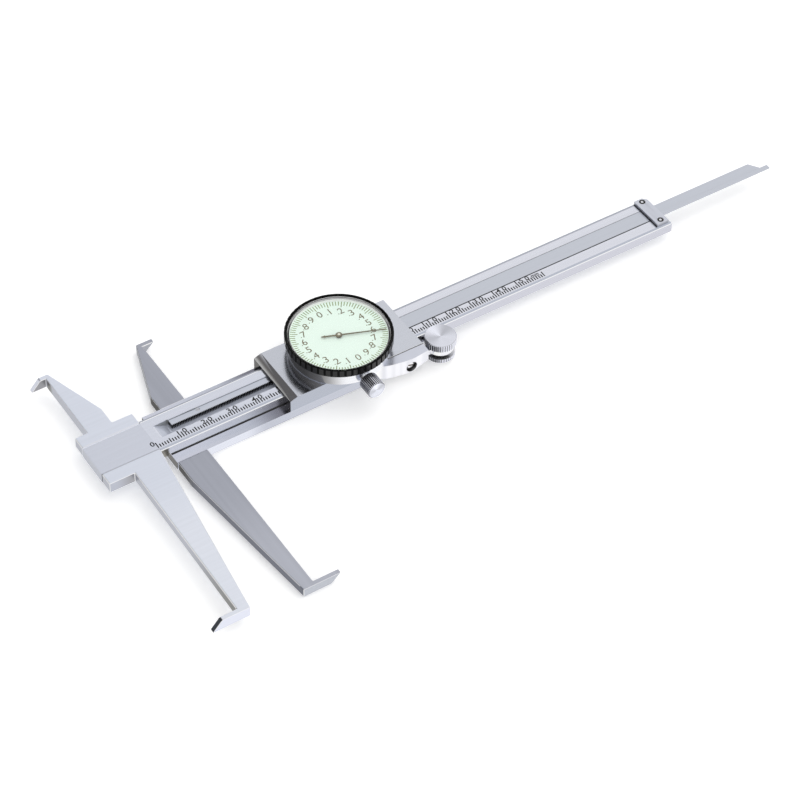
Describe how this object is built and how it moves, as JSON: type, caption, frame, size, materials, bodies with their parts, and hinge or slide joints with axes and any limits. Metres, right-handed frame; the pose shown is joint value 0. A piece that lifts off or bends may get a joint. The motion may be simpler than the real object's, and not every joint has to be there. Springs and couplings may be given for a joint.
{
  "type": "inside groove dial caliper",
  "caption": "Dial caliper with outward-hooked jaws for inside grooves: scaled beam with rack, sliding plate and sleeve, geared dial, thumb roller and depth rod.",
  "frame": {"origin": "where the dial's axis meets the back face of the slider plate, on which the caliper lies", "axes": "+X along the beam towards the free end of the depth rod, +Y towards the short upper jaws, +Z along the dial's axis out of the crystal"},
  "size_m": [0.2898, 0.1273, 0.0181],
  "materials": {
    "beam_steel": "satin ground along the beam",
    "head_steel": "satin ground along the beam",
    "rack_steel": "milled and ground",
    "plate_steel": "satin",
    "slider_steel": "satin",
    "jaw_steel": "fine ground",
    "rod_steel": "satin",
    "bracket_steel": "satin",
    "screw_steel": "turned",
    "knurled_steel": "turned and knurled",
    "roller_steel": "turned and knurled",
    "case_chrome": "satin chrome",
    "pinion_steel": "cut and hardened",
    "spring_steel": "polished",
    "gear_brass": "turned",
    "gib_brass": "drawn",
    "pointer_lacquer": "satin lacquer",
    "bezel_black": "glossy, fluted",
    "dial_mint": "matt print",
    "crystal": "clear"
  },
  "bodies": {
    "beam": {"beam": "beam_steel", "fixed_jaw_lower": "head_steel", "fixed_jaw_upper": "head_steel", "rack": "rack_steel", "rack_screws": "screw_steel", "rod_end_plate": "plate_steel", "end_plate_screws": "screw_steel"},
    "slider": {"slider_body": "slider_steel", "moving_jaw_lower": "jaw_steel", "moving_jaw_upper": "jaw_steel", "depth_rod": "rod_steel", "rod_rivets": "screw_steel", "gib_strip": "gib_brass", "gib_screws": "screw_steel", "roller_bracket": "bracket_steel", "bracket_screw": "screw_steel", "dial_case": "case_chrome", "case_screws": "screw_steel", "bezel_ring": "spring_steel", "arbor_bushes": "gear_brass", "bridge_pillars": "gear_brass", "movement_bridge": "gear_brass", "bridge_screws": "screw_steel", "hairspring": "spring_steel"},
    "rack_pinion": {"rack_pinion": "pinion_steel", "drive_wheel": "gear_brass"},
    "backlash_wheel": {"backlash_wheel": "gear_brass"},
    "pointer": {"centre_pinion": "pinion_steel", "pointer": "pointer_lacquer", "pointer_hub": "pointer_lacquer"},
    "bezel": {"bezel": "bezel_black", "crystal": "crystal", "dial_face": "dial_mint"},
    "bezel_clamp": {"bezel_clamp_screw": "knurled_steel"},
    "slider_lock": {"slider_lock_screw": "knurled_steel"},
    "thumb_roller": {"thumb_roller": "roller_steel", "roller_flange": "roller_steel"}
  },
  "joints": [
    {"name": "slider_travel", "type": "slide", "parent": "beam", "child": "slider", "axis": [1, 0, 0], "range_m": [-0.03862, 0.10138]},
    {"name": "rack_pinion_turn", "type": "hinge", "parent": "slider", "child": "rack_pinion", "pos_m": [0.00716, -0.00076, 0.0112], "axis": [0, 0, 1], "range_deg": [-1390.8, 3650.2]},
    {"name": "backlash_wheel_turn", "type": "hinge", "parent": "slider", "child": "backlash_wheel", "pos_m": [-0.00716, 0.00076, 0.0119], "axis": [0, 0, 1], "range_deg": [-1390.8, 3650.2]},
    {"name": "pointer_turn", "type": "hinge", "parent": "slider", "child": "pointer", "pos_m": [0, 0, 0.0164], "axis": [0, 0, 1], "range_deg": [-18248.9, 6952.1]},
    {"name": "thumb_roller_turn", "type": "hinge", "parent": "slider", "child": "thumb_roller", "pos_m": [0.0337, -0.0138, 0.005], "axis": [0, 0, 1], "range_deg": [-385.3, 1010.7]},
    {"name": "bezel_turn", "type": "hinge", "parent": "slider", "child": "bezel", "pos_m": [0, 0, 0.0162], "axis": [0, 0, 1], "continuous": true},
    {"name": "bezel_clamp_turn", "type": "hinge", "parent": "slider", "child": "bezel_clamp", "pos_m": [-0.00035, -0.022, 0.011], "axis": [0, -1, 0], "range_deg": [0, 360]},
    {"name": "slider_lock_turn", "type": "hinge", "parent": "slider", "child": "slider_lock", "pos_m": [0, 0.016, 0.00565], "axis": [0, 1, 0], "range_deg": [0, 360]}
  ],
  "couplings": [
    {"joint": "rack_pinion_turn", "follows": "slider_travel", "rad_per_m": 628.32},
    {"joint": "backlash_wheel_turn", "follows": "slider_travel", "rad_per_m": 628.32},
    {"joint": "pointer_turn", "follows": "slider_travel", "rad_per_m": -3141.6},
    {"joint": "thumb_roller_turn", "follows": "slider_travel", "rad_per_m": 173.91}
  ]
}
